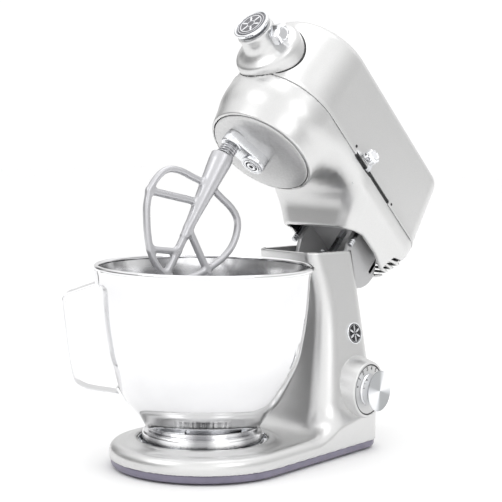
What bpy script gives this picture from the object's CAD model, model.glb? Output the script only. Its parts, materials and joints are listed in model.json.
"""Looks of a tilt-head stand mixer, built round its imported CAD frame.

Shapes are drawn in millimetres, the head's pieces as if the head were closed over the bowl
with the bowl's axis at the origin. Each piece is then moved into the frame's own place.
"""
import json
from math import atan, atan2, cos, hypot, pi, radians, sin

import bpy
import numpy as np
from mathutils import Matrix, Vector


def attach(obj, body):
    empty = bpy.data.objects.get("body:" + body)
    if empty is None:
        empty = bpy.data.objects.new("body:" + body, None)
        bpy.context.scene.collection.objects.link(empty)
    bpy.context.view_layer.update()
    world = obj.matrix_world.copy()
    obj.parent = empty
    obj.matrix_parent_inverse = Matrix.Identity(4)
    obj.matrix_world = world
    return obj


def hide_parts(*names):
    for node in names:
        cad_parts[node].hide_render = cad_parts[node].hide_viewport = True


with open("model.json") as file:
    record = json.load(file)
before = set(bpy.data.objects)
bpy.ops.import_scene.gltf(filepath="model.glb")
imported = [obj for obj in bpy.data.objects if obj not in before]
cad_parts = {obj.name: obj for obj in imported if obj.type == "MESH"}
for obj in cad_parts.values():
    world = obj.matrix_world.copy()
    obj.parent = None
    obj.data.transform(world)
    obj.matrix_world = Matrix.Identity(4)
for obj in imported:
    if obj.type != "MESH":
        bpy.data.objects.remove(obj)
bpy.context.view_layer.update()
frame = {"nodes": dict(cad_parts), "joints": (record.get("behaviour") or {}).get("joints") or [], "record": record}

MM = 0.001
SCENE = bpy.context.scene
JOINT = {j["name"]: j for j in frame["joints"]}
NODE = frame["nodes"]
SLOT_OF = {s["node"]: s["material_slot"] for s in frame["record"]["subparts"]}

# ---- places, read from the frame ----


def joint_mm(name):
    return Vector(JOINT[name]["pos_m"]) / MM


BOWL_AXIS = Vector((0, joint_mm("bowl_twist").y, 0))
HINGE = joint_mm("head_tilt")
TILT = radians(JOINT["head_tilt"]["range_deg"][1])
HANG = radians(10)
PIN_Z = 170
BLADE_TURN = radians(76)


def shift(x, y, z):
    return Matrix.Translation((x, y, z))


def turn(angle, axis):
    return Matrix.Rotation(angle, 4, axis)


SIDEWAYS = turn(pi / 2, "Y")
AT_BOWL = shift(*BOWL_AXIS)
IN_HEAD = shift(*HINGE) @ turn(-TILT, "X") @ shift(*(BOWL_AXIS - HINGE))
PLANET = IN_HEAD.inverted() @ joint_mm("beater_spin")
AT_PLANET = IN_HEAD @ shift(PLANET.x, PLANET.y, 0)
IN_BEATER = (AT_PLANET @ shift(0, 0, PIN_Z) @ turn(HANG, "X") @ turn(BLADE_TURN, "Z")
             @ shift(0, 0, -PIN_Z))
DIAL = joint_mm("speed_knob_turn") - BOWL_AXIS
DIAL_AXIS = Vector(JOINT["speed_knob_turn"]["axis"])
DIAL_TURN = atan2(DIAL_AXIS.y, DIAL_AXIS.x)
AT_DIAL = AT_BOWL @ shift(*DIAL) @ turn(DIAL_TURN, "Z") @ SIDEWAYS
HUB_Z = 294
AT_HUB = IN_HEAD @ shift(0, 0, HUB_Z) @ turn(pi / 2, "X")

# ---- driving sizes of the shells, in millimetres ----

BASE_R, BASE_TOP, REAR_R, REAR_X, REAR_Y = 93.5, 26, 28, 47.5, 175
COLUMN_TOP, COLUMN_HALF, LEAN, WAIST_Z = 210, 40, 0.2, 160
HEAD_HALF, SEAM_Z, HEAD_TOP, BARREL_Z, BARREL_R = 65, 264, 350, 212, 57.5
HEAD_CORNER, HEAD_REAR, WALL = 25, 212, 3
SEAM_GAP, COVER_DRAFT = 0.6, 0.035

# ---- signed distances and the meshes made from them ----


def smooth_min(a, b, k):
    h = np.clip(0.5 + 0.5 * (b - a) / k, 0, 1)
    return b + (a - b) * h - k * h * (1 - h)


def smooth_max(a, b, k):
    return -smooth_min(-a, -b, k)


def round_edge(a, b, r):
    """Where two surfaces meet at an outer edge, with the edge rounded to radius r."""
    return np.minimum(np.maximum(a, b) + r, 0) + np.hypot(np.maximum(a + r, 0),
                                                          np.maximum(b + r, 0)) - r


def box_2d(x, y, half_x, half_y, r):
    qx, qy = np.abs(x) - half_x + r, np.abs(y) - half_y + r
    return np.hypot(np.maximum(qx, 0), np.maximum(qy, 0)) + np.minimum(np.maximum(qx, qy), 0) - r


def directions(steps):
    """Unit vectors all the way round."""
    return [(cos(2 * pi * i / steps), sin(2 * pi * i / steps)) for i in range(steps)]


def disc_hull(x, y, discs, steps=120):
    """Distance to the outline that wraps round some discs, each (x, y, radius)."""
    best = None
    for c, s in directions(steps):
        reach = max(c * dx + s * dy + r for dx, dy, r in discs)
        d = x * c + y * s - reach
        best = d if best is None else np.maximum(best, d)
    return best


def surface_net(field, low, step):
    """Vertices and quads of the zero surface of a gridded field."""
    inside = field < 0
    cells = tuple(n - 1 for n in field.shape)
    total = np.zeros(cells + (3,))
    count = np.zeros(cells)
    crossings = []
    for axis in range(3):
        u, v = [a for a in range(3) if a != axis]
        ahead = [slice(None)] * 3
        behind = [slice(None)] * 3
        behind[axis], ahead[axis] = slice(None, -1), slice(1, None)
        a, b = field[tuple(behind)], field[tuple(ahead)]
        cross = inside[tuple(behind)] != inside[tuple(ahead)]
        t = np.where(cross, a / np.where(cross, a - b, 1), 0)
        crossings.append((cross, inside[tuple(behind)]))
        for du in (0, 1):
            for dv in (0, 1):
                part = [slice(None)] * 3
                part[u] = slice(du, cells[u] + du)
                part[v] = slice(dv, cells[v] + dv)
                c = cross[tuple(part)]
                total[..., axis] += t[tuple(part)]
                total[..., u] += c * du
                total[..., v] += c * dv
                count += c
    used = count > 0
    index = np.full(cells, -1)
    index[used] = np.arange(used.sum())
    points = (np.argwhere(used) + total[used] / count[used][:, None]) * step + np.array(low)
    quads = []
    for axis, (cross, starts_inside) in enumerate(crossings):
        u, v = [a for a in range(3) if a != axis]
        at = np.argwhere(cross)
        keep = (at[:, u] > 0) & (at[:, v] > 0) & (at[:, u] < cells[u]) & (at[:, v] < cells[v])
        at = at[keep]
        corner = []
        for du, dv in ((-1, -1), (0, -1), (0, 0), (-1, 0)):
            near = at.copy()
            near[:, u] += du
            near[:, v] += dv
            corner.append(index[near[:, 0], near[:, 1], near[:, 2]])
        quad = np.stack(corner, 1)
        forward = starts_inside[at[:, 0], at[:, 1], at[:, 2]] ^ (axis == 1)
        quad[~forward] = quad[~forward][:, ::-1]
        quads.append(quad)
    return points, np.concatenate(quads)


def carve(distance, low, high, step):
    """Meshes a signed distance inside a box, then settles the vertices on the true surface."""
    axes = [np.arange(a, b + step, step) for a, b in zip(low, high)]
    field = distance(axes[0][:, None, None], axes[1][None, :, None], axes[2][None, None, :])
    field = np.broadcast_to(field, tuple(len(a) for a in axes))
    points, quads = surface_net(field, low, step)
    eps = 0.15
    for _ in range(3):
        d = distance(*points.T)
        slope = np.stack([distance(*(points + eps * e).T) - distance(*(points - eps * e).T)
                          for e in np.eye(3)], 1) / (2 * eps)
        push = -slope * (d / np.maximum((slope ** 2).sum(1), 0.25))[:, None]
        size = np.linalg.norm(push, axis=1)
        points = points + push * np.minimum(1, 0.4 * step / np.maximum(size, 1e-9))[:, None]
    return points, quads


# ---- turned, lofted and swept meshes ----


def fillet(points, radius, steps=5):
    """A closed outline with its corners rounded; radius is one number or one for each point."""
    radii = [radius] * len(points) if np.isscalar(radius) else radius
    out = []
    for i, p in enumerate(points):
        p, a, b = (Vector(q) for q in (p, points[i - 1], points[(i + 1) % len(points)]))
        da, db = a - p, b - p
        r = min(radii[i], 0.45 * da.length, 0.45 * db.length)
        if r < 0.05 or abs(da.angle(db) - pi) < 0.05:
            out.append(p)
            continue
        start, end = p + da.normalized() * r, p + db.normalized() * r
        for k in range(steps + 1):
            t = k / steps
            out.append((1 - t) ** 2 * start + 2 * t * (1 - t) * p + t * t * end)
    return [tuple(q) for q in out]


def spline(points, steps=6):
    """A smooth open curve through some points."""
    p = [np.array(q, float) for q in points]
    p = [2 * p[0] - p[1]] + p + [2 * p[-1] - p[-2]]
    out = []
    for a, b, c, d in zip(p, p[1:], p[2:], p[3:]):
        for k in range(steps):
            t = k / steps
            out.append(tuple(0.5 * (2 * b + (c - a) * t + (2 * a - 5 * b + 4 * c - d) * t * t
                                    + (3 * b - a - 3 * c + d) * t ** 3)))
    return out + [tuple(p[-2])]


def lathe(profile, segments=128):
    """Turns a closed (radius, height) outline about Z. Points on the axis become poles."""
    points, rings = [], []
    for r, z in profile:
        if r < 1e-6:
            rings.append([len(points)] * segments)
            points.append((0, 0, z))
        else:
            rings.append(list(range(len(points), len(points) + segments)))
            points += [(r * c, r * s, z) for c, s in directions(segments)]
    faces = []
    for a, b in zip(rings, rings[1:] + rings[:1]):
        for i in range(segments):
            j = (i + 1) % segments
            face = list(dict.fromkeys((a[i], a[j], b[j], b[i])))
            if len(face) > 2:
                faces.append(face)
    return points, faces


def tube(r_in, r_out, z_low, z_high, segments):
    """A turned ring with square edges; from radius 0 it is a disc."""
    return lathe([(r_in, z_low), (r_out, z_low), (r_out, z_high), (r_in, z_high)], segments)


def loft(rings, close_start=True, close_end=True):
    """Joins rings that have the same number of points; the ends close with a flat face."""
    n = len(rings[0])
    points = [p for ring in rings for p in ring]
    faces = [[k * n + i, k * n + (i + 1) % n, (k + 1) * n + (i + 1) % n, (k + 1) * n + i]
             for k in range(len(rings) - 1) for i in range(n)]
    if close_start:
        faces.append(list(range(n))[::-1])
    if close_end:
        faces.append([(len(rings) - 1) * n + i for i in range(n)])
    return points, faces


def disc_ring(discs, z, inset=0, steps=160):
    """The outline round some discs as a ring of points at one height."""
    ring = []
    for c, s in directions(steps):
        dx, dy, r = max(discs, key=lambda d: c * d[0] + s * d[1] + d[2])
        ring.append((dx + (r - inset) * c, dy + (r - inset) * s, z))
    return ring


def merge(*meshes):
    points, faces = [], []
    for p, f in meshes:
        faces += [[i + len(points) for i in face] for face in f]
        points += [tuple(q) for q in p]
    return points, faces


def moved(mesh, matrix):
    points, faces = mesh
    return [tuple(matrix @ Vector(p)) for p in points], faces


def spread(mesh, angles, out=0):
    """Copies of a mesh turned about Z, each moved out from the axis first."""
    return [moved(mesh, turn(radians(a), "Z") @ shift(out, 0, 0)) for a in angles]


def sector(r_out, r_in, z_low, z_high, degrees, steps=16):
    section = fillet([(r_in, z_low), (r_out, z_low), (r_out, z_high), (r_in, z_high)], 0.5, 2)
    half = radians(degrees) / 2
    return loft([[(r * cos(a), r * sin(a), z) for r, z in section]
                 for a in np.linspace(-half, half, steps)])


def sweep(path, radius, sides=16):
    """A round wire along a path of points."""
    p = [Vector(q) for q in path]
    rings = []
    for i, q in enumerate(p):
        t = (p[min(i + 1, len(p) - 1)] - p[max(i - 1, 0)]).normalized()
        side = t.cross(Vector((0, 0, 1)) if abs(t.z) < 0.9 else Vector((1, 0, 0))).normalized()
        up = side.cross(t)
        rings.append([tuple(q + radius * (side * c + up * s)) for c, s in directions(sides)])
    return loft(rings)


def new_object(name, mesh, matrix):
    """An object in the scene, with its mesh brought from millimetres into the frame's place."""
    points, faces = mesh
    data = bpy.data.meshes.new(name)
    data.from_pydata([tuple(p) for p in points], [], [list(map(int, f)) for f in faces])
    data.transform(Matrix.Scale(MM, 4) @ matrix)
    data.validate()
    data.update()
    made = bpy.data.objects.new(name, data)
    SCENE.collection.objects.link(made)
    return made


def add_piece(name, mesh, matrix, body, slot, stands_for=(), material=None, sharp=35, bevel=0):
    """A finished piece: its mesh in metres, in the frame's place, riding on its body."""
    piece = new_object(name, mesh, matrix)
    data = piece.data
    data.materials.append(material or MATERIAL[slot])
    data.shade_smooth()
    data.set_sharp_from_angle(angle=radians(sharp))
    if bevel:
        soften(piece, bevel)
    if stands_for:
        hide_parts(*stands_for)
    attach(piece, body)
    return piece


def darken_inside(piece, matrix, outer, slot):
    """The faces of a hollow shell's inside get a second finish."""
    piece.data.materials.append(MATERIAL[slot])
    back = (Matrix.Scale(MM, 4) @ matrix).inverted()
    centres = np.array([tuple(back @ f.center) for f in piece.data.polygons])
    inside = outer(*centres.T) < -1.4
    for face, dark in zip(piece.data.polygons, inside):
        face.material_index = int(dark)


def soften(piece, width):
    """Small rounded edges, as moulded and pressed pieces have."""
    modifier = piece.modifiers.new("edges", "BEVEL")
    modifier.width = width * MM
    modifier.segments = 3
    modifier.limit_method = "ANGLE"
    modifier.angle_limit = radians(35)
    modifier.harden_normals = True


def cut(piece, tool_mesh, matrix):
    """Takes a closed tool mesh out of a piece that hasn't been given modifiers."""
    tool = new_object("tool", tool_mesh, matrix)
    modifier = piece.modifiers.new("cut", "BOOLEAN")
    modifier.operation = "DIFFERENCE"
    modifier.solver = "EXACT"
    modifier.object = tool
    graph = bpy.context.evaluated_depsgraph_get()
    result = bpy.data.meshes.new_from_object(piece.evaluated_get(graph))
    piece.modifiers.remove(modifier)
    piece.data = result
    bpy.data.objects.remove(tool)
    result.shade_smooth()
    result.set_sharp_from_angle(angle=radians(35))


def cuboid(low, high):
    (a, b, c), (d, e, f) = low, high
    points = [(x, y, z) for z in (c, f) for x, y in ((a, b), (d, b), (d, e), (a, e))]
    return points, [[3, 2, 1, 0], [4, 5, 6, 7], [0, 1, 5, 4], [1, 2, 6, 5], [2, 3, 7, 6], [3, 0, 4, 7]]


# ---- materials ----


def new_node(tree, kind, inputs, **settings):
    """A shader node; each of its inputs gets a value, or a link from another node's output."""
    node = tree.nodes.new("ShaderNode" + kind)
    for key, value in settings.items():
        setattr(node, key, value)
    for key, value in inputs.items():
        if isinstance(value, bpy.types.NodeSocket):
            tree.links.new(value, node.inputs[key])
        else:
            node.inputs[key].default_value = value
    return node


def math_node(tree, operation, a, b=0.0):
    return new_node(tree, "Math", {0: a, 1: b}, operation=operation).outputs[0]


def ramp_node(tree, fac, stops):
    """A colour ramp; each stop is a place and a colour, or one number for a grey."""
    node = new_node(tree, "ValToRGB", {"Fac": fac})
    ramp = node.color_ramp
    while len(ramp.elements) < len(stops):
        ramp.elements.new(0.5)
    for element, (place, colour) in zip(ramp.elements, stops):
        element.position = place
        element.color = (colour if isinstance(colour, tuple) else (colour,) * 3) + (1,)
    return node.outputs["Color"]


class Nodes:
    """Short names for building a material's nodes."""

    def __init__(self, name):
        self.material = bpy.data.materials.new(name)
        self.material.use_nodes = True
        self.tree = self.material.node_tree
        self.shader = self.tree.nodes["Principled BSDF"]
        self.place = self.tree.nodes.new("ShaderNodeTexCoord").outputs["Object"]

    def new(self, kind, inputs, **settings):
        return new_node(self.tree, kind, inputs, **settings)

    def to_shader(self, socket, name):
        self.tree.links.new(socket, self.shader.inputs[name])

    def set(self, **values):
        for key, value in values.items():
            self.shader.inputs[key.replace("_", " ")].default_value = value

    def scaled(self, x, y, z):
        return self.new("Mapping", {"Scale": (x, y, z), "Vector": self.place}).outputs["Vector"]

    def noise(self, vector, detail=3, rough=0.5):
        inputs = {"Scale": 1, "Detail": detail, "Roughness": rough, "Vector": vector}
        return self.new("TexNoise", inputs).outputs["Fac"]

    def grain(self, scale, detail=3, rough=0.5):
        """Noise of the same size every way."""
        return self.noise(self.scaled(scale, scale, scale), detail, rough)

    def math(self, operation, a, b=0.0):
        return math_node(self.tree, operation, a, b)

    def colour(self, fac, *stops):
        self.to_shader(ramp_node(self.tree, fac, stops), "Base Color")

    def rough(self, fac, low, high):
        node = self.new("MapRange", {"To Min": low, "To Max": high, "Value": fac})
        self.to_shader(node.outputs["Result"], "Roughness")

    def bump(self, height, strength):
        node = self.new("Bump", {"Strength": strength, "Distance": 0.0002, "Height": height})
        self.to_shader(node.outputs["Normal"], "Normal")

    def parts_from(self, origin, spin=0.0):
        """X, Y and Z from a point given in millimetres, turned about Z."""
        offset = self.new("VectorMath", {0: self.place, 1: origin * MM}, operation="SUBTRACT")
        turned = self.new("Mapping", {"Rotation": (0, 0, spin), "Vector": offset.outputs["Vector"]})
        return self.new("SeparateXYZ", {"Vector": turned.outputs["Vector"]}).outputs


def tint(colour, amount):
    return tuple(min(1, max(0, c * amount)) for c in colour)


def paint(name, colour, metallic=0.85, rough=(0.27, 0.35), coat=0.15):
    """Sprayed metallic paint: fine flakes, faint orange peel, and a clear coat."""
    n = Nodes(name)
    n.set(Metallic=metallic, Coat_Weight=coat, Coat_Roughness=0.12)
    flakes = n.grain(2600, 1)
    n.colour(flakes, (0.3, tint(colour, 0.93)), (0.7, tint(colour, 1.05)))
    n.rough(n.grain(60), *rough)
    n.bump(n.grain(420, 2), 0.06)
    return n.material


def steel(name, colour, rough=(0.06, 0.12), scratch=0.04, metallic=1.0):
    """Polished or ground metal with faint wiping marks."""
    n = Nodes(name)
    n.set(Metallic=metallic)
    smear = n.grain(35, 4, 0.6)
    n.colour(smear, (0.3, tint(colour, 0.96)), (0.7, colour))
    n.rough(smear, *rough)
    n.bump(n.noise(n.scaled(300, 300, 2600), detail=3), scratch)
    return n.material


def plastic(name, colour, rough=(0.42, 0.55), grain=0.12, sheen=0.0):
    """Moulded plastic or rubber with a fine eroded grain."""
    n = Nodes(name)
    n.set(Sheen_Weight=sheen)
    cloud = n.grain(90, 4)
    n.colour(cloud, (0.25, tint(colour, 0.85)), (0.75, tint(colour, 1.1)))
    n.rough(cloud, *rough)
    n.bump(n.grain(1500, 2), grain)
    return n.material


def enamel(name, metallic, coat, marks, rough, fine, *stops):
    """A hard coat whose tone and gloss vary with fine marks."""
    n = Nodes(name)
    n.set(Metallic=metallic, Coat_Weight=coat[0], Coat_Roughness=coat[1])
    cloud = n.grain(marks)
    n.colour(cloud, *stops)
    n.rough(cloud, *rough)
    n.bump(n.grain(fine, 2), 0.05)
    return n.material


FINISHES = {
    "housing_silver": (paint, (0.70, 0.70, 0.697)),
    "sole_purple_grey": (plastic, (0.20, 0.185, 0.25), (0.3, 0.42)),
    "rubber_black": (plastic, (0.02, 0.02, 0.022), (0.6, 0.75), 0.2, 0.2),
    "steel_plain": (steel, (0.62, 0.63, 0.65), (0.22, 0.34), 0.08),
    "steel_polished": (steel, (0.86, 0.86, 0.87), (0.05, 0.1)),
    "chrome_bright": (steel, (0.88, 0.89, 0.91), (0.03, 0.07), 0.01),
    "spun_aluminium": (steel, (0.85, 0.86, 0.88), (0.2, 0.3), 0.03),
    "dial_grey": (steel, (0.66, 0.66, 0.66), (0.36, 0.48), 0.05, 0.8),
    "plastic_dark": (plastic, (0.025, 0.025, 0.028)),
    "plastic_black": (plastic, (0.01, 0.01, 0.011), (0.35, 0.5)),
    "circuit_green": (plastic, (0.02, 0.11, 0.05), (0.25, 0.4), 0.05),
    "wire_blue": (plastic, (0.06, 0.14, 0.42), (0.25, 0.35), 0.03),
    "emblem_dark": (plastic, (0.012, 0.012, 0.014), (0.1, 0.18), 0.02),
    "frame_grey": (paint, (0.21, 0.21, 0.212), 0.3, (0.42, 0.55), 0.0),
    "ear_grey": (paint, (0.50, 0.50, 0.505), 0.4, (0.35, 0.45), 0.1),
    "bronze": (steel, (0.55, 0.38, 0.18), (0.35, 0.5), 0.1),
    "cast_grey": (steel, (0.45, 0.46, 0.48), (0.42, 0.58), 0.25, 0.85),
    "gear_steel": (steel, (0.42, 0.43, 0.45), (0.2, 0.32), 0.06),
    "gear_nylon": (plastic, (0.75, 0.71, 0.58), (0.4, 0.5), 0.04),
    "motor_steel": (steel, (0.30, 0.31, 0.33), (0.35, 0.5), 0.2, 0.9),
    "carbon": (plastic, (0.015, 0.015, 0.015)),
    "copper": (steel, (0.60, 0.27, 0.12), (0.25, 0.4), 0.2),
    "beater_coat": (paint, (0.56, 0.56, 0.58), 0.6, (0.24, 0.34), 0.15),
    "spring_dark": (steel, (0.50, 0.50, 0.52), (0.16, 0.26)),
}
MATERIAL = {name: make(name, *look) for name, (make, *look) in FINISHES.items()}
CAP_FACE = enamel("cap_face", 0.6, (1.0, 0.04), 700, (0.12, 0.22), 1200,
                  (0.2, (0.05, 0.05, 0.06)), (0.8, (0.13, 0.13, 0.15)))
DISC_FINISH = enamel("disc_finish", 0.75, (0.1, 0.2), 420, (0.36, 0.46), 900,
                     (0.3, (0.60, 0.60, 0.60)), (0.7, (0.68, 0.68, 0.68)))

# ---- camera ----

CAMERA_TURN, CAMERA_DOWN, CAMERA_ROLL = (radians(a) for a in (42.665, 5.206, 0.777))
CAMERA_PLACE = Vector((1070.2, -1093.1, 356.1)) + BOWL_AXIS
CAMERA_LENS = 110.72

forward = Vector((-sin(CAMERA_TURN) * cos(CAMERA_DOWN),
                  cos(CAMERA_TURN) * cos(CAMERA_DOWN), -sin(CAMERA_DOWN)))
camera = bpy.data.objects.new("camera", bpy.data.cameras.new("camera"))
SCENE.collection.objects.link(camera)
facing = forward.to_track_quat("-Z", "Y").to_matrix().to_4x4()
camera.matrix_world = Matrix.Translation(CAMERA_PLACE * MM) @ facing @ turn(CAMERA_ROLL, "Z")
camera.data.lens = CAMERA_LENS
SCENE.camera = camera

# ---- base and column ----

BASE_DISCS = [(0, 0, BASE_R), (REAR_X, REAR_Y, REAR_R), (-REAR_X, REAR_Y, REAR_R)]
COLLAR_TOP, RECESS_R, RECESS_Z = 29, 66, 19


def column_2d(x, y, z, inset=0):
    """Outline of the column at each height: it widens downwards and its front is hollow."""
    z = np.minimum(z, COLUMN_TOP)
    half = COLUMN_HALF + (COLUMN_TOP - z) * LEAN - inset
    bow = np.hypot(z - WAIST_Z, 30) - 30
    front = 128 - bow * np.where(z > WAIST_Z, 0.32, 0.27) + inset
    rear = 190 + (COLUMN_TOP - z) * 0.06 - inset
    return box_2d(x, y - (front + rear) / 2, half, (rear - front) / 2, 13 + (COLUMN_TOP - z) * 0.07)


def dial_pod(x, y, z):
    """The swelling of the column's rear corner that carries the dial's bezel."""
    c, s = cos(DIAL_TURN), sin(DIAL_TURN)
    dx, dy, dz = x - DIAL.x, y - DIAL.y, z - DIAL.z
    along, across = dx * c + dy * s, dy * c - dx * s
    return smooth_max(np.hypot(across, dz) - 32 + along * 0.1 + 2, np.maximum(along + 12, -60 - along),
                      3)


def base_outer(x, y, z):
    outline = disc_hull(x, y, BASE_DISCS)
    slab = round_edge(outline, z - BASE_TOP, 10)
    column = round_edge(column_2d(x, y, z), z - COLUMN_TOP, 2.5)
    column = smooth_min(column, dial_pod(x, y, z), 4)
    body = smooth_min(slab, np.maximum(column, outline + 1), 30)
    rho = np.hypot(x, y)
    collar = round_edge(rho - 80 + (z - 20) * 0.6, z - COLLAR_TOP, 3)
    body = smooth_min(body, collar, 7)
    return np.maximum(body, outline)


def base_shell(x, y, z):
    body = base_outer(x, y, z)
    body = np.maximum(body, -round_edge(np.hypot(x, y) - RECESS_R, RECESS_Z - z, 1))
    cavity = np.maximum(column_2d(x, y, z, WALL), 40 - z)
    body = np.maximum(body, -cavity)
    slot = np.maximum(np.maximum(np.abs(x) - 37, 172 - y), 140 - z)
    return np.maximum(np.maximum(body, -slot), 10 - z)


def build_base():
    base = add_piece("base_shell", carve(base_shell, (-97, -97, 7), (97, 210, 214), 1.9), AT_BOWL,
                     "base", "housing_silver", ["base_housing"], sharp=50)
    darken_inside(base, AT_BOWL, base_outer, "frame_grey")
    rings = [disc_ring(BASE_DISCS, z, inset) for z, inset in
             ((2, 12), (2, 4.5), (2.4, 3.2), (3.4, 2.2), (5, 1.6), (9.2, 1.3), (9.9, 1.8), (9.9, 12))]
    add_piece("sole", loft(rings), AT_BOWL, "base", "sole_purple_grey", ["base_tray"])
    foot = fillet([(0, 0), (12.6, 0), (11, 2), (0, 2)], [0, 0.7, 0.4, 0], 3)
    feet = [(0, -58), (58, 20), (-58, 20), (52, 168), (-52, 168)]
    add_piece("feet", merge(*[moved(lathe(foot, 48), shift(x, y, 0)) for x, y in feet]), AT_BOWL,
              "base", "rubber_black", ["rubber_feet"])


build_base()

# ---- bowl ----

BOWL_OUTER = [(44, 32), (53, 35), (60.6, 46), (66.5, 54), (77.3, 67), (88, 88), (96.2, 108),
              (100.3, 129), (103, 149), (104.6, 169), (105.6, 189), (107.3, 199)]
SHEET = 1.2
SHEEN_BANDS = 7
LUG_ANGLES = (30, 150, 270)
RIM_R, RIM_Z, BEAD_R = 107.4, 200.4, 2.55
HANDLE_TURN = radians(224)
# Heights of the brushed finish's upper edge on the wall and on the floor
RIM_EDGE, FLOOR_EDGE = 199, 34.5


def brushed_inside():
    """Stainless steel brushed round and round: the sheen falls into broad upright bands."""
    n = Nodes("bowl_brushed")
    n.set(Metallic=1.0, Anisotropic=0.8, Anisotropic_Rotation=0.25)
    lines = n.noise(n.scaled(6, 6, 3800), detail=3)
    parts = n.parts_from(BOWL_AXIS)
    angle = n.math("ARCTAN2", parts["Y"], parts["X"])
    phase = -SHEEN_BANDS * radians(133)
    wave = n.math("COSINE", n.math("ADD", n.math("MULTIPLY", angle, SHEEN_BANDS), phase))
    streaks = n.math("ADD", n.math("MULTIPLY", lines, 0.3), 0.35)
    shade = n.math("ADD", n.math("MULTIPLY", wave, 0.42), streaks)
    n.colour(shade, (0.15, (0.36, 0.36, 0.37)), (0.5, (0.80, 0.80, 0.81)), (0.8, (0.96, 0.96, 0.97)))
    n.rough(lines, 0.14, 0.22)
    tangent = n.new("Tangent", {}, direction_type="RADIAL", axis="Z")
    n.to_shader(tangent.outputs["Tangent"], "Tangent")
    n.bump(lines, 0.05)
    return n.material


BRUSHED = brushed_inside()


def build_bowl():
    outer = [(0, 32)] + spline(BOWL_OUTER, 5)
    inner = [(0, 32 + SHEET)] + [(r - SHEET, z + (0.4 if z < 60 else 0)) for r, z in outer[1:]]
    rim = [(RIM_R + BEAD_R * cos(a), RIM_Z + BEAD_R * sin(a))
           for a in np.linspace(radians(-55), radians(200), 15)]
    profile = outer + rim + inner[::-1]
    bowl = add_piece("bowl_shell", lathe(profile, 200), AT_BOWL, "mixing_bowl", "steel_polished",
                     ["bowl"])
    bowl.data.materials.append(BRUSHED)
    axis = BOWL_AXIS * MM
    for face in bowl.data.polygons:
        out = face.center - axis
        out.z = 0
        on_wall = face.normal.dot(out) < 0 and face.center.z < RIM_EDGE * MM
        on_floor = face.normal.z > 0.5 and face.center.z < FLOOR_EDGE * MM
        if on_wall or on_floor:
            face.material_index = 1
    handle_path = spline([(107.4, 183), (112, 181.6), (128.9, 175.4), (136, 172.6), (139.2, 167.5),
                          (139, 158), (137.4, 144), (133.7, 114.6), (130.8, 98), (126.5, 85),
                          (119, 79.5), (108, 76.8), (95, 75), (83.6, 73.2)], 6)
    rings = []
    for i, (r, z) in enumerate(handle_path):
        a, b = handle_path[max(i - 1, 0)], handle_path[min(i + 1, len(handle_path) - 1)]
        along = Vector((b[0] - a[0], b[1] - a[1])).normalized()
        section = fillet([(-13, -1), (13, -1), (13, 1), (-13, 1)], 0.9, 3)
        rings.append([(r - along.y * t, w, z + along.x * t) for w, t in section])
    strap = loft(rings)
    plates = []
    for z0, outline in ((180, [(105.8, 0), (108.2, 0), (109.5, 17), (107.8, 17)]),
                        (62, [(73.6, 0), (75.6, -1), (80, 4), (87, 17), (84.8, 18), (77.6, 5)])):
        section = fillet(outline, 0.7, 2)
        steps = 14
        sweep_angle = radians(16)
        plates.append(loft([[(r * cos(a), r * sin(a), z0 + z) for r, z in section]
                            for a in np.linspace(-sweep_angle / 2, sweep_angle / 2, steps)]))
    add_piece("handle_strap", merge(strap, *plates), AT_BOWL @ turn(HANDLE_TURN, "Z"), "mixing_bowl",
              "steel_polished", ["bowl_handle"])
    foot = fillet([(58.6, 21), (60.6, 21), (60.6, 35.2), (59, 37.4), (52.6, 37.4), (52.6, 36.2),
                   (58.2, 35.4), (58.6, 34)], [0.5, 0.5, 1.2, 1, 0.3, 0.3, 0.6, 0.4], 3)
    lugs = spread(sector(63.9, 60.2, 21.2, 24.2, 30), LUG_ANGLES)
    add_piece("foot_ring", merge(lathe(foot, 160), *lugs), AT_BOWL, "mixing_bowl", "steel_polished",
              ["bowl_foot"], material=BRUSHED)


build_bowl()

# ---- head shells ----

HUB_BORE = tube(0, 36.8, 40, 100, 96)


def head_discs(z):
    rear = HEAD_REAR - (z - SEAM_Z) * 0.15
    side, back = HEAD_HALF - HEAD_CORNER, rear - HEAD_CORNER
    return [(0, 0, HEAD_HALF), (side, back, HEAD_CORNER), (-side, back, HEAD_CORNER)]


def head_ring(z, inset):
    return disc_ring(head_discs(z), z, inset, 220)


def build_cover():
    lip, top_r = 1.2, 13
    levels = [(SEAM_Z + 0.6, 0.9), (SEAM_Z + 0.1, 0.1), (SEAM_Z + 0.5, -0.35), (SEAM_Z + 1.5, -0.4),
              (SEAM_Z + 2.6, 0.15)]
    levels += [(z, 0.4 + (z - SEAM_Z) * COVER_DRAFT) for z in (270, 280, 290, 300, 310, 320)]
    edge_z, edge_in = HEAD_TOP - top_r, 0.4 + (HEAD_TOP - top_r - SEAM_Z) * COVER_DRAFT
    levels += [(edge_z + top_r * sin(a) - lip, edge_in + top_r * (1 - cos(a)))
               for a in np.linspace(0, radians(80), 12)]
    outer = [head_ring(z, inset) for z, inset in levels]
    last = np.array(outer[-1])
    centre = np.array((0, 70, last[0][2]))
    for t in (0.8, 0.55, 0.3, 0.1):
        ring = centre + (last - centre) * t
        ring[:, 2] += lip * (1 - t ** 2)
        outer.append([tuple(p) for p in ring])
    inside = ((HEAD_TOP - 6, 24), (HEAD_TOP - 12, 13), (HEAD_TOP - 22, 7), (300, 4.6),
              (SEAM_Z + 2, WALL), (SEAM_Z + 0.8, 2.2))
    mesh = loft([head_ring(z, inset) for z, inset in inside] + outer)
    cover = add_piece("cover_shell", mesh, IN_HEAD, "head", "housing_silver", ["head_cover"])
    cut(cover, HUB_BORE, AT_HUB)
    cut(cover, cuboid((58, 54.7, SEAM_Z - 2), (70, 131.7, SEAM_Z + 3.8)), IN_HEAD)


HIDDEN_WALL = 4.6
VENT_LEVELS, VENT_HALF, VENT_SLOPE = (221, 227, 233, 239), 1.6, 0.5


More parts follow.
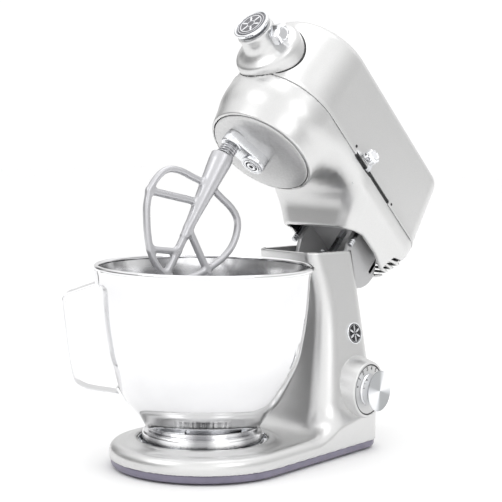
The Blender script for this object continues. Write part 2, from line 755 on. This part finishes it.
def housing_outer(x, y, z):
    """Barrel, keel and neck, blended into each other."""
    t = np.clip((z - BARREL_Z) / (SEAM_Z - BARREL_Z), 0, 1)
    barrel = (np.hypot(x, y) - (BARREL_R + 6.9 * np.sin(t * pi / 2))) * 0.97
    keel_2d = disc_hull(x, y, head_discs(SEAM_Z)) + 0.7
    keel = round_edge(keel_2d, 242 - z, 21)
    drop = np.clip(250 - z, 0, 40)
    half, front, rear = 62 - drop * 0.42, 84 + drop * 0.84, HEAD_REAR + 0.5 - drop * 0.22
    neck = box_2d(x, y - (front + rear) / 2, half, (rear - front) / 2, 18)
    body = smooth_min(barrel, smooth_min(keel, neck, 16), 20)
    return smooth_max(body, keel_2d - 0.9, 3)


def ease(t):
    t = np.clip(t, 0, 1)
    return t * t * (3 - 2 * t)


def housing_lip(x, y, z):
    """Height over the rim of the two mouths: level at the barrel, arched up beside the hinge."""
    arch = 12.5 * ease((y - 106) / 36) - 5 * ease((y - 164) / 36)
    return z - BARREL_Z - arch


def housing_shell(x, y, z):
    outer = housing_outer(x, y, z)
    body = round_edge(outer, -housing_lip(x, y, z), 1.6)
    inside = np.maximum(outer + HIDDEN_WALL, 50 - z)
    mouth = np.maximum(np.hypot(x, y) - BARREL_R + 2.6, z - 235)
    hub = np.maximum(np.hypot(x, z - HUB_Z) - 35.8, y + 20)
    vents = None
    for level in VENT_LEVELS:
        slot = np.maximum(np.abs(z - level - VENT_SLOPE * (y - 196)) - VENT_HALF,
                          np.maximum(np.abs(x) - 58, 190 - y))
        vents = slot if vents is None else np.minimum(vents, slot)
    port = np.maximum(np.hypot(y - 206, z - 247) - 4.6, 45 - x)
    for tool in (inside, mouth, hub, vents, port):
        body = np.maximum(body, -tool)
    return np.maximum(body, z - SEAM_Z + SEAM_GAP)


def housing_skin(x, y, z):
    return np.maximum(housing_outer(x, y, z), -housing_lip(x, y, z))


def build_housing():
    shell = add_piece("housing_shell", carve(housing_shell, (-69, -69, 208), (69, 218, 267), 1.6),
                      IN_HEAD, "head", "housing_silver", ["head_housing"], sharp=50)
    darken_inside(shell, IN_HEAD, housing_skin, "plastic_dark")


def build_joint_strip():
    rings = [disc_ring(head_discs(SEAM_Z), z, inset, 220) for z, inset in
             ((SEAM_Z - 3, 2.6), (SEAM_Z - 3, 1.25), (SEAM_Z + 3, 1.25), (SEAM_Z + 3, 2.6))]
    strip = add_piece("joint_strip", loft(rings + rings[:1], False, False), IN_HEAD, "head",
                      "frame_grey", material=MATERIAL["ear_grey"])
    cut(strip, HUB_BORE, AT_HUB)
    cut(strip, cuboid((60, 54.7, SEAM_Z - 5), (70, 131.7, SEAM_Z + 5)), IN_HEAD)


build_cover()
build_housing()
build_joint_strip()

# ---- flat beater ----

BEATER_TOP, BLADE_T = 180, 7


def segment(u, w, a, b, half):
    """Distance to a bar between two points of the blade's plane."""
    au, aw = a
    bu, bw = b[0] - au, b[1] - aw
    t = np.clip(((u - au) * bu + (w - aw) * bw) / (bu * bu + bw * bw), 0, 1)
    return np.hypot(u - au - t * bu, w - aw - t * bw) - half


def beater_distance(x, y, z):
    u, w = x, z - BEATER_TOP
    outline = spline([(5, -36), (20, -38.5), (36, -41), (48, -47), (54.5, -58), (56.5, -74),
                      (52.6, -90), (47, -101), (38.8, -114), (29.6, -125.5), (19, -134.5), (9, -139),
                      (0, -140)], 4)
    bars = None
    wide = np.where(u < 0, 1.0, 1.05) * np.abs(u)
    for a, b in zip(outline, outline[1:]):
        d = segment(wide, w, a, b, 3.3)
        bars = d if bars is None else np.minimum(bars, d)
    spine = segment(u, w, (0, -30), (0, -140), 3.8)
    upper = segment(u, w, (-56, -77), (0, -56), 3.7)
    lower = segment(u, w, (-27, -126.5), (0, -113), 3.2)
    brace = segment(u, w, (0, -86), (43, -114), 3.4)
    flat = smooth_min(smooth_min(bars, spine, 4), smooth_min(smooth_min(upper, lower, 3), brace, 4), 4)
    thick = np.abs(y) - BLADE_T / 2
    blade = round_edge(flat, thick, 2.6)
    rho = np.hypot(x, y)
    taper = np.clip((BEATER_TOP - z - 8) / 84, 0, 1)
    sleeve = round_edge(rho - (11.9 - 8 * taper), z - BEATER_TOP, 1)
    sleeve = np.maximum(sleeve, BEATER_TOP - 96 - z)
    body = smooth_min(blade, sleeve, 3)
    bore = np.maximum(rho - 8.3 + (BEATER_TOP - z) * 0.1, BEATER_TOP - 25 - z)
    return np.maximum(body, -bore)


add_piece("beater_blade", carve(beater_distance, (-68, -16, 32), (68, 16, 184), 1.25), IN_BEATER,
          "beater", "beater_coat", ["flat_beater"], sharp=60)

# ---- attachment hub ----

SIXTHS = range(0, 360, 60)
SCREW_Z = 88


def cover_skin(x, y, z):
    return np.hypot(x, y) - HEAD_HALF + 0.4 + (z - SEAM_Z) * COVER_DRAFT


def fluted(radius, depth, lobes, z, steps=96):
    """A ring whose radius swells and shrinks round the axis."""
    ring = []
    for i in range(steps):
        a = 2 * pi * i / steps
        r = radius - depth * abs(sin(lobes * a / 2)) ** 0.8
        ring.append((r * cos(a), r * sin(a), z))
    return ring


def facet_knob(radius, length, lobes, depth):
    """A chrome knob with scalloped sides, rounded ends and a dished face."""
    levels = ((0, 0.62), (0.04, 0.74), (0.16, 0.92), (0.3, 1.0), (0.72, 1.0), (0.88, 0.93), (0.97, 0.8),
              (1.0, 0.68))
    rings = [fluted(radius * k, depth * k, lobes, length * t) for t, k in levels]
    rings.append(fluted(radius * 0.52, 0, lobes, length * 0.985))
    rings.append(fluted(radius * 0.46, 0, lobes, length * 0.94))
    return loft(rings)


def build_hub():
    profile = fillet([(0, 50), (35.6, 50), (36.4, 53), (36.6, 66), (34.6, 71.5), (27.5, 74.6),
                      (21.6, 79.6), (19.4, 86), (19.9, 93), (19.2, 95.4), (15.6, 95.4), (15.6, 84),
                      (0, 84)], [0, 0.5, 1, 4.2, 4.2, 5, 4.5, 4, 1, 0.8, 0.5, 0.5, 0], 5)
    collar = add_piece("hub_collar_shell", lathe(profile, 144), AT_HUB, "head", "housing_silver",
                       ["hub_collar"])
    cut(collar, moved(tube(0, 3.1, -12, 30, 32), shift(12, 0, 89) @ SIDEWAYS), AT_HUB)

    def gasket(x, y, z):
        ring = np.abs(np.hypot(x, z - HUB_Z) - 36.9) - 0.75
        return np.maximum(np.maximum(ring, cover_skin(x, y, z) - 0.55), y + 44)

    add_piece("hub_gasket", carve(gasket, (-40, -68, HUB_Z - 40), (40, -42, HUB_Z + 40), 0.9), IN_HEAD,
              "head", "plastic_black", sharp=50)
    lip = fillet([(0, 96), (13.4, 96), (14.6, 98.9), (18.4, 99.2), (19.6, 100.2), (19.6, 102.6),
                  (18.8, 103.3), (17.3, 103.3), (16.8, 102.2), (0, 102.2)],
                 [0, 0.4, 0.5, 0.5, 0.6, 0.6, 0.4, 0.3, 0.2, 0], 4)
    add_piece("hub_cap_ring", lathe(lip, 144), AT_HUB, "hub_plug", "chrome_bright", ["hub_cap"])
    stem = fillet([(0, 76), (11.9, 76), (11.9, 96.2), (0, 96.2)], 0.6, 3)
    add_piece("hub_cap_stem", lathe(stem, 64), AT_HUB, "hub_plug", "steel_plain")
    face = fillet([(0, 102.1), (16.7, 102.1), (16.7, 102.5), (15.9, 102.9), (0, 103.1)],
                  [0, 0.1, 0.2, 0.3, 0], 3)
    add_piece("hub_cap_face", lathe(face, 128), AT_HUB, "hub_plug", "emblem_dark", material=CAP_FACE)
    rings = [tube(r - w, r + w, 102.9, 103.25, 96)
             for r, w in ((14.6, 0.28), (11.8, 0.5), (4.1, 0.35))]
    petals = spread(petal(3.4, 1.15, 103.0, 103.3), SIXTHS, 7.8)
    add_piece("hub_cap_emblem", merge(*rings, *petals), AT_HUB, "hub_plug", "chrome_bright")
    knob = moved(facet_knob(11.4, 13.2, 6, 2.1), shift(22.6, 0, SCREW_Z) @ SIDEWAYS)
    neck = moved(lathe(fillet([(0, 12.4), (2.9, 12.4), (2.9, 19.6), (6.2, 20.6), (6.2, 22.8),
                               (0, 22.8)], 0.5, 3), 48), shift(0, 0, SCREW_Z) @ SIDEWAYS)
    add_piece("thumb_screw_knob", merge(knob, neck), AT_HUB, "hub_screw", "chrome_bright",
              ["thumb_screw"])


def petal(length, width, z_low, z_high, steps=20):
    ring = [(length * cos(a), width * sin(a)) for a in np.linspace(0, 2 * pi, steps, endpoint=False)]
    return loft([[(x, y, z_low) for x, y in ring], [(x, y, z_high) for x, y in ring],
                 [(x * 0.86, y * 0.7, z_high + 0.15) for x, y in ring]])


build_hub()

# ---- drip disc, carrier bar and the beater's drive ----

SPRING_R, SPRING_TURNS = 8.0, 3.2


def build_planetary():
    disc = fillet([(12.4, 206.2), (30, 206.6), (44, 208.2), (51.5, 210.2), (54, 211.8), (54.1, 216.5),
                   (53, 216.5), (52.6, 213.4), (44, 210.6), (30, 209), (12.4, 208.6)],
                  [0.3, 6, 5, 1.4, 0.8, 0.3, 0.3, 1, 5, 6, 0.3], 5)
    add_piece("drip_disc_plate", lathe(disc, 160), IN_HEAD, "planet_carrier", "housing_silver",
              ["drip_disc"], material=DISC_FINISH)
    bar_turn = atan2(PLANET.y, PLANET.x)
    reach = hypot(PLANET.x, PLANET.y)
    ring = disc_ring([(0, 0, 12.4), (reach, 0, 11.4)], 0, 0, 96)
    levels = ((196.0, 0.8), (196.1, 0.35), (196.4, 0.1), (196.9, 0), (205.4, 0), (206.6, 0.2))
    bar = loft([[(x * (1 - i / 30), y * (1 - i / 14), z) for x, y, _ in ring] for z, i in levels])
    boss = lathe(fillet([(0, 195), (8.7, 195), (8.7, 193), (12.2, 193), (12.6, 196.4), (12.5, 216),
                         (0, 216)], [0, 0.2, 0.5, 1.1, 1, 0.5, 0], 4), 96)
    nose = moved(lathe(fillet([(5.4, 194.4), (10.4, 194.4), (11.4, 196.4), (8.3, 216), (5.4, 216)],
                              [0.4, 1, 1, 0.5, 0.4], 4), 80), shift(reach, 0, 0))
    arm = merge(moved(bar, turn(bar_turn, "Z")), boss, moved(nose, turn(bar_turn, "Z")))
    add_piece("carrier_arm", arm, IN_HEAD, "planet_carrier", "steel_plain", ["carrier_bar"],
              material=MATERIAL["spun_aluminium"])
    ring_nut = lathe(fillet([(6.5, 192.5), (8.5, 192.5), (8.5, 195.1), (6.5, 195.1)], 0.4, 3), 72)
    screw_head = lathe(fillet([(2.3, 192.1), (4.9, 192.1), (5.1, 193), (5.1, 196), (2.3, 196)],
                              [0.2, 0.6, 0.3, 0.2, 0.2], 3), 48)
    well = tube(0, 6.7, 194.6, 195.1, 48)
    add_piece("ring_screw_parts", merge(ring_nut, screw_head), IN_HEAD, "planet_carrier", "steel_plain",
              ["ring_screw"], material=MATERIAL["chrome_bright"])
    add_piece("ring_screw_well", well, IN_HEAD, "planet_carrier", "plastic_black")
    wound = 2 * pi * SPRING_TURNS
    coils = [(SPRING_R * cos(a), SPRING_R * sin(a), 183 + 9 * a / wound)
             for a in np.linspace(0, wound, 140)]
    washer = lathe(fillet([(5.3, 181.2), (9.4, 181.2), (9.4, 182.2), (5.3, 182.2)], 0.25, 2), 64)
    pin = moved(lathe(fillet([(0, -8.3), (2, -8.3), (2, 8.3), (0, 8.3)], [0, 0.4, 0.4, 0], 2), 32),
                shift(0, 0, PIN_Z) @ SIDEWAYS)
    add_piece("drive_pin", pin, AT_PLANET, "beater_spindle", "steel_plain", ["cross_pin"])
    add_piece("spring_coil", merge(sweep(coils, 0.9, 10), washer), AT_PLANET, "beater_spindle",
              "spring_dark", ["beater_spring"])
    shaft = fillet([(0, 157), (4.4, 157), (5, 158), (5, 197), (0, 197)], [0, 0.4, 0.4, 0, 0], 3)
    add_piece("spindle_shaft", lathe(shaft, 64), AT_PLANET, "beater_spindle", "steel_plain", ["beater_shaft"])


build_planetary()

# ---- lock lever, slot and hinge ----


# The lever stem's section, in halves of its width and thickness
STEM_SECTION = ((-1, -0.7), (-0.8, -1), (0.8, -1), (1, -0.7), (1, 0.7), (0.8, 1), (-0.8, 1),
                (-1, 0.7))


def build_lever():
    knob_place = shift(72.4, 68.4, 272.2) @ turn(radians(-22), "Z") @ turn(radians(72), "Y")
    add_piece("lever_ball", moved(facet_knob(8.3, 12, 9, 1.0), knob_place @ shift(0, 0, -5.4)), IN_HEAD,
              "lock_lever", "chrome_bright", ["lever_knob"])
    stem = []
    path = spline([(60, 80, 265.5), (66, 80, 265.6), (69, 77, 267.6), (71, 71.5, 271.2)], 5)
    for i, point in enumerate(path):
        t = i / (len(path) - 1)
        half_y, half_z = 3.1 - 0.9 * t, 1.15 + 0.6 * t
        x, y, z = point
        stem.append([(x + c * 0.8, y + a * half_y, z + c * half_z) for a, c in STEM_SECTION])
    slide = merge(loft(stem), cuboid((48, 77, 264.4), (62, 83, 266.6)),
                  cuboid((48, 77, 246), (50.3, 83, 265)))
    add_piece("lever_stem", slide, IN_HEAD, "lock_lever", "steel_plain", ["lever_slide"], bevel=0.3)
    pocket = cuboid((58.4, 53.6, SEAM_Z - 1.4), (63.4, 132.8, SEAM_Z + 4.6))
    add_piece("slot_pocket", pocket, IN_HEAD, "head", "plastic_black", ["slot_guide"])
    dot = lathe(fillet([(0, -0.6), (1.7, -0.6), (1.7, 0.25), (0, 0.35)], [0, 0.1, 0.3, 0], 2), 24)
    marks = [moved(dot, shift(64.7 - (z - SEAM_Z) * COVER_DRAFT, y, z) @ SIDEWAYS)
             for y, z in ((50, 271), (137, 268))]
    add_piece("lock_marks", merge(*marks), IN_HEAD, "head", "plastic_black")


def ear_outline():
    lobe = spline([(189.5, 229), (194.6, 224.5), (198, 217), (198.3, 210), (195.8, 201), (190.5, 193),
                   (182, 186), (170, 183), (160, 186), (152, 193), (146, 203), (141, 214)], 5)
    return lobe + [(139, 236), (189, 236)]


def build_hinge():
    outline = fillet(ear_outline(), 1.5, 3)
    ears = []
    for x in (-36, 31):
        ring = [(0, y, z) for y, z in outline]
        middle = np.array((0, 170, 212))
        levels = ((0, 0.988), (0.6, 1.0), (4.4, 1.0), (5, 0.988))
        ears.append(loft([[tuple(middle + (np.array(q) - middle) * k + np.array((x + t, 0, 0)))
                           for q in ring] for t, k in levels]))
    plate = cuboid((-36, 137, 236), (36, 194, 240))
    back = cuboid((-36, 188, 214), (36, 192, 239))
    add_piece("hinge_ear_plates", merge(*ears, plate, back), IN_HEAD, "head", "frame_grey",
              ["hinge_ears"], material=MATERIAL["ear_grey"])
    studs = []
    for x in (-39.2, 39.2):
        profile = [(0, 210.7), (2.6, 210.7)]
        for k in range(3):
            z = 211.4 + 2.6 * k
            profile += [(3.4, z), (3.4, z + 1.7), (3.0, z + 2.0), (3.0, z + 2.4)]
        profile += [(2.4, 219.6), (2.4, 237), (0, 237)]
        studs.append(moved(lathe(fillet(profile, 0.2, 2), 40), shift(x, 140, 0)))
    add_piece("rest_studs", merge(*studs), IN_HEAD, "head", "steel_plain", ["neck_bumpers"])
    caps = [moved(lathe(fillet([(0, -0.4), (7.6, -0.4), (7.6, 1.2), (6.2, 1.6), (5.4, 0.4), (0, 0.4)],
                               [0, 0.2, 0.5, 0.4, 0.3, 0], 3), 56),
                  shift(side * 37.2, HINGE.y - BOWL_AXIS.y, HINGE.z) @ turn(side * pi / 2, "Y"))
            for side in (-1, 1)]
    add_piece("pin_end_clips", merge(*caps), AT_BOWL, "base", "plastic_black", ["pin_clips"])


build_lever()
build_hinge()

# ---- speed dial ----

DIGIT_STROKES = {
    "0": [[(0.5, 1), (0.85, 0.85), (1, 0.5), (0.85, 0.15), (0.5, 0), (0.15, 0.15), (0, 0.5),
           (0.15, 0.85), (0.5, 1)]],
    "1": [[(0.25, 0.8), (0.55, 1), (0.55, 0)]],
    "2": [[(0.05, 0.8), (0.4, 1), (0.85, 0.9), (0.9, 0.6), (0.5, 0.3), (0.05, 0), (0.95, 0)]],
    "3": [[(0.05, 0.9), (0.5, 1), (0.9, 0.8), (0.55, 0.53), (0.95, 0.25), (0.5, 0), (0.05, 0.1)]],
    "4": [[(0.75, 0), (0.75, 1), (0.05, 0.3), (1, 0.3)]],
    "5": [[(0.9, 1), (0.2, 1), (0.12, 0.55), (0.6, 0.62), (0.95, 0.33), (0.6, 0), (0.05, 0.08)]],
    "6": [[(0.85, 0.95), (0.4, 0.85), (0.08, 0.4), (0.3, 0.02), (0.75, 0.03), (0.95, 0.32),
           (0.6, 0.55), (0.12, 0.4)]],
    "7": [[(0.05, 1), (0.95, 1), (0.4, 0)]],
    "8": [[(0.5, 0.54), (0.15, 0.78), (0.5, 1), (0.85, 0.78), (0.5, 0.54), (0.08, 0.25),
           (0.5, 0), (0.92, 0.25), (0.5, 0.54)]],
    "9": [[(0.15, 0.05), (0.6, 0.15), (0.92, 0.6), (0.7, 0.98), (0.25, 0.97), (0.05, 0.68),
           (0.4, 0.45), (0.88, 0.6)]],
}


def digit_mesh(text, height, stroke):
    """Printed digits as thin raised strokes in the X-Y plane, centred on the origin."""
    width, gap = height * 0.55, height * 0.2
    total = len(text) * width + (len(text) - 1) * gap
    parts = []
    for k, letter in enumerate(text):
        x0 = k * (width + gap) - total / 2
        for line in DIGIT_STROKES[letter]:
            path = [(x0 + u * width, (v - 0.5) * height) for u, v in line]
            for (ax, ay), (bx, by) in zip(path, path[1:]):
                length = hypot(bx - ax, by - ay)
                cx, cy = (bx - ax) / length * stroke / 2, (by - ay) / length * stroke / 2
                points = [(ax - cx - cy, ay - cy + cx), (ax - cx + cy, ay - cy - cx),
                          (bx + cx + cy, by + cy - cx), (bx + cx - cy, by + cy + cx)]
                parts.append(loft([[(x, y, z) for x, y in points] for z in (-0.08, 0.06)]))
    return merge(*parts)


NUMBER_R, NUMBER_Z, DOT_ANGLE, KNOB_FACE_Z = 22.7, 0.47, radians(75), 13.8


def build_dial():
    bezel = fillet([(19.8, -21), (35.6, -21), (29.5, 0.2), (28.6, 1.2), (27.1, 1.2), (26.7, 0.6),
                    (26.7, -2.6), (19.8, -2.6)], [0.3, 0.5, 1.4, 0.8, 0.3, 0.2, 0.2, 0.2], 5)
    add_piece("dial_surround", lathe(bezel, 160), AT_DIAL, "base", "housing_silver", ["dial_bezel"])
    ring = fillet([(12, -2.2), (25.8, -2.2), (25.8, 0.2), (25.2, 0.45), (12, 0.45)],
                  [0.1, 0.1, 0.2, 0.3, 0.1], 3)
    add_piece("dial_plate", lathe(ring, 128), AT_DIAL, "base", "dial_grey", ["number_ring"])
    gap = tube(25.4, 26.7, -2.4, 0.5, 128)
    add_piece("dial_gap", gap, AT_DIAL, "base", "plastic_black")
    digits = []
    for k in range(8):
        angle = radians(21.5 * k - 54)
        up, side = cos(angle), sin(angle)
        place = shift(-NUMBER_R * up, NUMBER_R * side, NUMBER_Z) @ turn(pi / 2 - angle, "Z")
        digits.append(moved(digit_mesh(str(k + 1), 3.9, 0.7), place))
    dot = moved(tube(0, 1.1, -0.1, 0.06, 24),
                shift(-NUMBER_R * cos(DOT_ANGLE), -NUMBER_R * sin(DOT_ANGLE), NUMBER_Z))
    add_piece("dial_numbers", merge(dot, *digits), AT_DIAL, "base", "plastic_black")
    skirt = fillet([(0, 0.6), (17.4, 0.6), (16.2, 2.4), (16.2, 6), (18, 10.2), (20.9, 12.3), (0, 12.3)],
                   [0, 0.5, 1, 3, 3, 0.4, 0], 6)
    add_piece("knob_skirt", lathe(skirt, 160), AT_DIAL, "speed_knob", "chrome_bright", ["knob_body"])
    face = fillet([(0, 12.2), (20.8, 12.2), (21.4, 12.8), (21.3, 13.7), (20.6, 14.1), (19.8, 13.9),
                   (0, 13.8)], [0, 0.2, 0.3, 0.3, 0.2, 0.2, 0], 3)
    add_piece("knob_plate", lathe(face, 160), AT_DIAL, "speed_knob", "spun_aluminium", ["knob_face"],
              material=spun_face())


def spun_face():
    """Aluminium spun so that four opposite sectors catch the light."""
    n = Nodes("knob_spun_face")
    n.set(Metallic=1.0)
    parts = n.parts_from(AT_DIAL @ Vector((0, 0, KNOB_FACE_Z)), -DIAL_TURN)
    angle = n.math("ARCTAN2", parts["Z"], parts["Y"])
    swing = n.math("SINE", n.math("ADD", n.math("MULTIPLY", angle, 2.0), 0.35))
    shade = n.math("ADD", n.math("MULTIPLY", swing, 0.5), 0.5)
    n.colour(shade, (0.3, (0.42, 0.43, 0.44)), (0.5, (0.62, 0.63, 0.65)), (0.75, (0.88, 0.89, 0.90)))
    n.rough(shade, 0.42, 0.32)
    n.bump(n.grain(900, 2), 0.03)
    return n.material


def build_emblem():
    place = AT_BOWL @ shift(57.4, 167.5, 123.5) @ turn(pi / 2 - atan(LEAN), "Y")
    dark = lathe(fillet([(0, 0), (10.4, 0), (10.4, 1.5), (0, 1.75)], [0, 0.2, 0.4, 0], 3), 96)
    add_piece("badge_face", dark, place, "base", "emblem_dark", ["column_emblem"])
    rim = lathe(fillet([(10.2, 0), (11.5, 0), (11.5, 1.5), (10.9, 1.9), (10.2, 1.7)], 0.25, 3), 96)
    petals = spread(petal(3.0, 1.0, 1.5, 1.75), SIXTHS, 5.4)
    ring = tube(1.3, 2.0, 1.5, 1.9, 40)
    outer = tube(8.9, 9.25, 1.45, 1.75, 72)
    add_piece("badge_trim", merge(rim, ring, outer, *petals), place, "base", "chrome_bright")


build_dial()
build_emblem()

# ---- clamp plate in the base's recess ----


def build_clamp():
    plate = lathe(fillet([(40, 19.05), (65.4, 19.05), (65.4, 28), (64.5, 28), (64.5, 20.6), (40, 20.6)],
                         [0.2, 0.3, 0.3, 0.3, 0.8, 0.3], 3), 160)
    lips = spread(sector(64.8, 61.4, 24.9, 26.1, 44), LUG_ANGLES)
    ball = moved(lathe([(1.9 * cos(a), 1.9 * sin(a)) if abs(a) < 1.57 else (0, 1.9 * sin(a))
                        for a in np.linspace(-pi / 2, pi / 2, 12)], 24), shift(31.6, 54.7, 28.4))
    add_piece("clamp_ring", merge(plate, ball, *lips), AT_BOWL, "base", "chrome_bright",
              ["clamp_plate"])


build_clamp()

# ---- finishes of the CAD's own pieces ----

for name, node in NODE.items():
    node.data.materials.clear()
    node.data.materials.append(MATERIAL[SLOT_OF[name]])

# ---- studio ----


def world_light():
    """Large soft panels round the object, with a few gaps; the camera sees plain white behind."""
    world = bpy.data.worlds.new("studio")
    SCENE.world = world
    world.use_nodes = True
    tree = world.node_tree
    around_z = (0, 0, pi / 2 - CAMERA_TURN)
    place = new_node(tree, "TexCoord", {}).outputs["Generated"]
    turned = new_node(tree, "Mapping", {"Rotation": around_z, "Vector": place})
    parts = new_node(tree, "SeparateXYZ", {"Vector": turned.outputs["Vector"]}).outputs
    angle = math_node(tree, "ARCTAN2", parts["Y"], parts["X"])
    around = math_node(tree, "ADD", math_node(tree, "DIVIDE", angle, 2 * pi), 0.5)
    panels = ramp_node(tree, around, PANELS)
    overhead = ramp_node(tree, parts["Z"], ((0.0, 0.0), (0.25, 0.0), (0.62, 1.0)))
    mix = tree.nodes.new("ShaderNodeMix")
    mix.data_type = "RGBA"
    tree.links.new(overhead, mix.inputs["Factor"])
    tree.links.new(panels, mix.inputs["A"])
    mix.inputs["B"].default_value = (OVERHEAD, OVERHEAD, OVERHEAD, 1)
    background = tree.nodes["Background"]
    tree.links.new(mix.outputs["Result"], background.inputs["Color"])
    background.inputs["Strength"].default_value = 1
    plain = new_node(tree, "Background", {"Color": (1, 1, 1, 1), "Strength": 1.05})
    seen = new_node(tree, "LightPath", {}).outputs["Is Camera Ray"]
    choose = new_node(tree, "MixShader", {"Fac": seen, 1: background.outputs["Background"],
                                          2: plain.outputs["Background"]})
    tree.links.new(choose.outputs["Shader"], tree.nodes["World Output"].inputs["Surface"])


# Brightness round the object: 0.5 is towards the camera, 0.25 and 0.75 are to its sides
PANELS = ((0.0, 0.8), (0.06, 0.8), (0.09, 0.15), (0.12, 0.15), (0.15, 0.6), (0.18, 0.2), (0.30, 0.22),
          (0.36, 0.45), (0.42, 1.35), (0.55, 1.35), (0.62, 0.75), (0.71, 0.62), (0.78, 0.66),
          (0.86, 0.9), (0.93, 0.9), (1.0, 0.8))
OVERHEAD = 1.15
FLOOR_HALF = 6000
# Each lamp's name, place in metres, power in watts and width in metres
LIGHTS = (("key", (-0.5, -1.9, 1.7), 7, 1.2), ("side", (1.9, -0.3, 1.3), 4, 1.0),
          ("top", (0, 0.2, 2.2), 9, 1.6))


def build_studio():
    floor_material = bpy.data.materials.new("studio")
    floor_material.use_nodes = True
    shader = floor_material.node_tree.nodes["Principled BSDF"]
    shader.inputs["Base Color"].default_value = (0.95, 0.95, 0.95, 1)
    shader.inputs["Roughness"].default_value = 0.7
    slab = cuboid((-FLOOR_HALF, -FLOOR_HALF, -20), (FLOOR_HALF, FLOOR_HALF, 0))
    floor = new_object("floor", slab, shift(0, 0, 0))
    floor.data.materials.append(floor_material)
    world_light()
    for name, place, power, width in LIGHTS:
        light = bpy.data.objects.new(name, bpy.data.lights.new(name, "AREA"))
        light.data.energy = power
        light.data.size = width
        light.location = place
        aim = Vector((0, 0, 0.2)) - Vector(place)
        light.rotation_euler = aim.to_track_quat("-Z", "Y").to_euler()
        SCENE.collection.objects.link(light)
    SCENE.view_settings.view_transform = "Standard"


build_studio()
